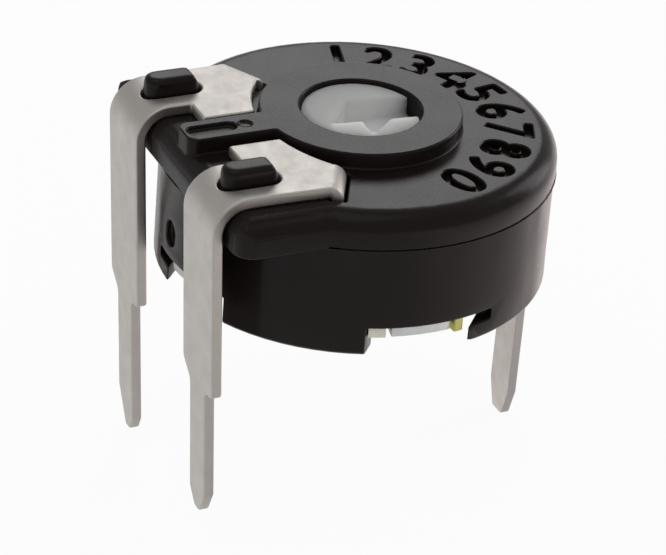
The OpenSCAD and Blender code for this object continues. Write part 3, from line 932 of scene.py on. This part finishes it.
    def drawn_out(self, tree: Tree, mesh: Value, height: Value, top: Value | None = None) -> bpy.types.Node:
        """Draws faces out upwards.

        Args:
            tree: the tree that is built.
            mesh: the mesh with the faces.
            height: how far they are drawn out.
            top: which faces, or all of them.

        Returns:
            The Extrude Mesh node.
        """
        inputs: dict[str, Any] = {
            "Mesh": mesh, "Offset": tree.along(Z, height), "Offset Scale": 1.0, "Individual": False,
        }
        if top is not None:
            inputs["Selection"] = top
        return tree.node("GeometryNodeExtrudeMesh", {"mode": "FACES"}, inputs)

    def cutter(self, material: bpy.types.Material) -> bpy.types.Object:
        """Makes the solids that the figures are cut with.

        Args:
            material: the finish of the figures' floors and walls.

        Returns:
            A plain mesh, which is removed once it has cut.
        """
        given = {
            "Text": self.text, "Size": mm(self.size), "Radius": mm(self.middle),
            "First Angle": math.radians(self.first), "Angle Step": math.radians(self.step),
            "Bottom": mm(self.surface - self.depth), "Wall": mm(self.depth - self.rim),
            "Rim": mm(2 * self.rim), "Heavier": mm(self.heavier), "Material": material,
        }
        cutter = bpy.data.objects.new("figures", bpy.data.meshes.new("figures"))
        bpy.context.scene.collection.objects.link(cutter)
        modifier = cutter.modifiers.new("figures", "NODES")
        modifier.node_group = self.tree()
        for socket in modifier.node_group.interface.items_tree:
            if socket.in_out == "INPUT":
                modifier[socket.identifier] = given[socket.name]
        mesh = finished_mesh(cutter)
        cutter.modifiers.clear()
        cutter.data = mesh
        LOG.info("figures: %d faces", len(mesh.polygons))
        return cutter


# ---------------------------------------------------------------- sub-assemblies


@dataclass
class Case:
    """The moulded housing, with its two pegs and the figures on its top."""

    soft: Softening = Softening(width=0.05)
    pegs: Pegs = Pegs()
    figures: Figures = Figures()
    finish: BlackMoulding = BlackMoulding(Slot.BLACK, (0.0098, 0.0062, 0.0058), 0.26, specular=0.12)

    def build(self) -> None:
        """Softens the edges, presses the pegs, sinks the figures and gives it all the black finish."""
        material = self.finish.material()
        housing = self.soft.copy("housing", "housing_moulding")
        self.pegs.press(housing)
        cutter = self.figures.cutter(material)
        sunk = housing.modifiers.new("sunk figures", "BOOLEAN")
        sunk.operation = "DIFFERENCE"
        sunk.solver = "EXACT"
        sunk.use_self = True
        sunk.object = cutter
        settle(housing)
        bpy.data.objects.remove(cutter)
        dress(housing, material)
        hand_over(housing, Body.CASE, "housing")


@dataclass
class RotorSet:
    """The rotor and the wiper that turns with it."""

    soft: Melting = Melting()
    wiper_soft: Softening = Softening(width=0.02, segments=2)
    milky: WhiteMoulding = WhiteMoulding(
        Slot.WHITE, (0.38, 0.388, 0.376), 0.34, specular=0.06, subsurface=1.0, subsurface_reach=3.0
    )
    spring: SpringSheet = SpringSheet(Slot.SPRING, (0.72, 0.55, 0.28), 0.3, metallic=1.0)

    def build(self) -> None:
        """Makes the soft rotor and the wiper."""
        rotor = settle(self.soft.copy("rotor", "rotor_moulding"))
        dress(rotor, self.milky.material())
        hand_over(rotor, Body.ROTOR, "rotor")
        wiper = settle(self.wiper_soft.copy("wiper", "wiper_spring"))
        dress(wiper, self.spring.material())
        hand_over(wiper, Body.ROTOR, "wiper")


@dataclass
class Terminals:
    """The three stamped and folded terminals.

    Attributes:
        soft, plate_soft: the rounding of the two leads, and of the contact plate with its pin.
        tinned: the finish of the leads.
        pin_side: the colour of the plate's sheared sides up to plate_low, which the pin has.
        nib_angle, nib_radius, nib_height: where the plate's nib of bare metal is.
    """

    soft: Softening = Softening(width=0.06)
    plate_soft: Softening = Softening(width=0.04)
    tinned: TinnedSheet = TinnedSheet(Slot.TINNED, (0.51, 0.483, 0.454), 0.5, metallic=1.0)
    pin_side: Colour = (0.27, 0.268, 0.265)
    plate_low: float = 1.9
    nib_angle: float = -82.2
    nib_radius: float = 4.9
    nib_height: float = 2.2

    def plate_finish(self) -> TinnedSheet:
        """Fits the tinned finish to the contact plate, which has a bare nib.

        Returns:
            The plate's finish.
        """
        turn = math.radians(self.nib_angle)
        out = Vector((math.cos(turn), math.sin(turn), 0))
        nib = self.nib_radius * out + self.nib_height * Vector(UP)
        return replace(self.tinned, cut=self.pin_side, rim_above=self.plate_low, bare_place=nib * mm(1))

    def build(self) -> None:
        """Makes the terminals with die-rolled edges."""
        leads = self.tinned.material()
        plate = self.plate_finish().material()
        for node, soft, material in (
            ("start_terminal", self.soft, leads),
            ("end_terminal", self.soft, leads),
            ("wiper_terminal", self.plate_soft, plate),
        ):
            piece = settle(soft.copy(node, node + "_sheet"))
            dress(piece, material)
            hand_over(piece, Body.CASE, node)


@dataclass
class Element:
    """The resistor disc with its carbon track and silver pads."""

    laminate: Laminate = Laminate(Slot.LAMINATE, (0.86, 0.83, 0.73), 0.6)
    carbon: PrintedFilm = PrintedFilm(Slot.CARBON, (0.02, 0.02, 0.022), 0.55)
    silver: PrintedFilm = PrintedFilm(Slot.SILVER, (0.7, 0.69, 0.66), 0.4, metallic=1.0)

    def build(self) -> None:
        """Dresses the element's solids, which keep their own meshes."""
        silver = self.silver.material()
        finishes = {
            "resistor_disc": self.laminate.material(),
            "carbon_track": self.carbon.material(),
            "start_pad": silver,
            "end_pad": silver,
        }
        for node, material in finishes.items():
            dress(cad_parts[node], material)
            LOG.info("%s: keeps its own mesh", node)


# ---------------------------------------------------------------- studio


def direction(azimuth: float, elevation: float) -> Vector:
    """Finds the direction from the object to a place around it.

    Args:
        azimuth: 0 is in front, at -Y, and 90 at +X.
        elevation: the angle above the horizon.

    Returns:
        The direction, of length 1.
    """
    turn, rise = math.radians(azimuth), math.radians(elevation)
    level = math.cos(rise)
    return Vector((math.sin(turn) * level, -math.cos(turn) * level, math.sin(rise)))


@dataclass(frozen=True)
class Lamp:
    """One soft area lamp, aimed at the object.

    Attributes:
        name: what the lamp does.
        azimuth, elevation, distance: where it hangs, seen from the object.
        radiance: how bright its face is.
        width, height: the size of its face.
    """

    name: str
    azimuth: float
    elevation: float
    radiance: float
    width: float
    height: float
    distance: float = 300.0

    def build(self) -> None:
        """Makes the lamp, with a power that follows its size."""
        data = bpy.data.lights.new(self.name, "AREA")
        data.shape = "RECTANGLE"
        data.size, data.size_y = mm(self.width), mm(self.height)
        data.energy = self.radiance * math.pi * data.size * data.size_y
        holder = bpy.data.objects.new(self.name, data)
        away = direction(self.azimuth, self.elevation)
        holder.rotation_mode = "QUATERNION"
        holder.rotation_quaternion = away.to_track_quat("Z", "Y")
        holder.location = away * mm(self.distance)
        bpy.context.scene.collection.objects.link(holder)


@dataclass
class Studio:
    """Camera, floor, lamps and world.

    Attributes:
        azimuth, elevation, roll: where the camera stands, and how it is turned about its view.
        distance, target, lens: how far off it is, what it looks at, and its focal length.
        floor_radius, floor_grey: the floor's size and its colour as a matt surface.
        floor_white: the share of plain white that the eye, gloss and glass see in the floor.
        bright, bright_colour: the strength and colour that gloss sees on the floor's +X side.
        bright_from, bright_blend: where along X that side begins, and half the change's width.
        world: the strength of the light from all round.
        lamps: the soft lamps.
    """

    azimuth: float = -26.708
    elevation: float = 29.951
    roll: float = 4.535
    distance: float = 75.3
    target: Triple = (-0.587, -0.357, 1.228)
    lens: float = 157.05
    floor_radius: float = 900.0
    floor_grey: float = 0.9
    floor_white: float = 0.93
    bright: float = 1.6
    bright_colour: Colour = (1.0, 0.9, 0.89)
    bright_from: float = 5.5
    bright_blend: float = 4.0
    world: float = 0.5
    lamps: tuple[Lamp, ...] = (
        Lamp("back_softbox", 153.0, 31.0, 3.1, 135.0, 95.0),
        Lamp("top_softbox", -60.0, 75.0, 0.8, 220.0, 220.0),
        Lamp("left_fill", -110.0, 25.0, 0.12, 180.0, 180.0),
        Lamp("right_strip", 99.0, 20.0, 3.1, 120.0, 200.0),
    )

    def camera(self) -> None:
        """Makes the camera at the viewing angle."""
        back = direction(self.azimuth, self.elevation)
        right = Vector(UP).cross(back).normalized()
        up = back.cross(right)
        roll = math.radians(self.roll)
        across = right * math.cos(roll) + up * math.sin(roll)
        upward = up * math.cos(roll) - right * math.sin(roll)
        turn = Matrix((across, upward, back)).transposed().to_4x4()
        data = bpy.data.cameras.new("camera")
        data.lens = self.lens
        data.sensor_width = 36.0
        data.clip_start = 0.001
        data.clip_end = 10.0
        camera = bpy.data.objects.new("camera", data)
        target = Vector([mm(value) for value in self.target])
        camera.matrix_world = Matrix.Translation(target + back * mm(self.distance)) @ turn
        bpy.context.scene.collection.objects.link(camera)
        bpy.context.scene.camera = camera

    def floor(self) -> None:
        """Makes the pale floor, just at the tips of the pins."""
        made = bmesh.new()
        bmesh.ops.create_circle(made, cap_ends=True, segments=64, radius=mm(self.floor_radius))
        bmesh.ops.translate(made, verts=made.verts, vec=(0, 0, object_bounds()[0].z))
        mesh = bpy.data.meshes.new("floor")
        made.to_mesh(mesh)
        made.free()
        floor = bpy.data.objects.new("floor", mesh)
        bpy.context.scene.collection.objects.link(floor)
        dress(floor, self.floor_finish())
        floor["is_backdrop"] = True

    def floor_finish(self) -> bpy.types.Material:
        """Makes the floor's finish, which looks white, shows a faint shadow and lights as matt paper does.

        Returns:
            A new material.
        """
        material = bpy.data.materials.new("floor")
        tree = Tree.of(material)
        path = tree.node("ShaderNodeLightPath")
        glossy = tree.out(path, "Is Glossy Ray")
        seen = tree.out(path, "Is Camera Ray").math("MAXIMUM", glossy)
        seen = seen.math("MAXIMUM", tree.out(path, "Is Transmission Ray"))
        side = tree.axes(tree.place())[X].above(mm(self.bright_from), soft=mm(self.bright_blend))
        grey = (self.floor_grey, self.floor_grey, self.floor_grey, 1.0)
        matt = tree.node("ShaderNodeBsdfDiffuse", None, {"Color": grey})
        white = tree.node("ShaderNodeEmission", None, {"Color": WHITE, "Strength": 1.0})
        inputs = {"Color": (*self.bright_colour, 1.0), "Strength": self.bright}
        bright = tree.node("ShaderNodeEmission", None, inputs)
        inputs = {0: seen * self.floor_white, 1: matt.outputs[0], 2: white.outputs[0]}
        pale = tree.node("ShaderNodeMixShader", None, inputs)
        inputs = {0: side * glossy, 1: pale.outputs[0], 2: bright.outputs[0]}
        surface = tree.node("ShaderNodeMixShader", None, inputs)
        tree.node("ShaderNodeOutputMaterial", None, {"Surface": surface.outputs[0]})
        return material

    def surroundings(self) -> bpy.types.World:
        """Makes the even light from all round.

        Returns:
            A new world.
        """
        world = bpy.data.worlds.new("studio")
        tree = Tree.of(world)
        glow = tree.node("ShaderNodeBackground", None, {"Color": WHITE, "Strength": self.world})
        tree.node("ShaderNodeOutputWorld", None, {"Surface": glow.outputs[0]})
        return world

    def build(self) -> None:
        """Makes the camera, the floor, the lamps and the world, and shows colours as they are."""
        self.camera()
        self.floor()
        for lamp in self.lamps:
            lamp.build()
        scene = bpy.context.scene
        scene.world = self.surroundings()
        scene.view_settings.view_transform = "Standard"
        LOG.info("studio: %d lamps", len(self.lamps))


def main() -> None:
    """Builds the looks, piece by piece, then the studio."""
    logging.basicConfig(level=logging.INFO, format="%(name)s: %(message)s")
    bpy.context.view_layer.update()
    for part in (Case(), RotorSet(), Terminals(), Element(), Studio()):
        part.build()


if __name__ == "__main__":
    main()
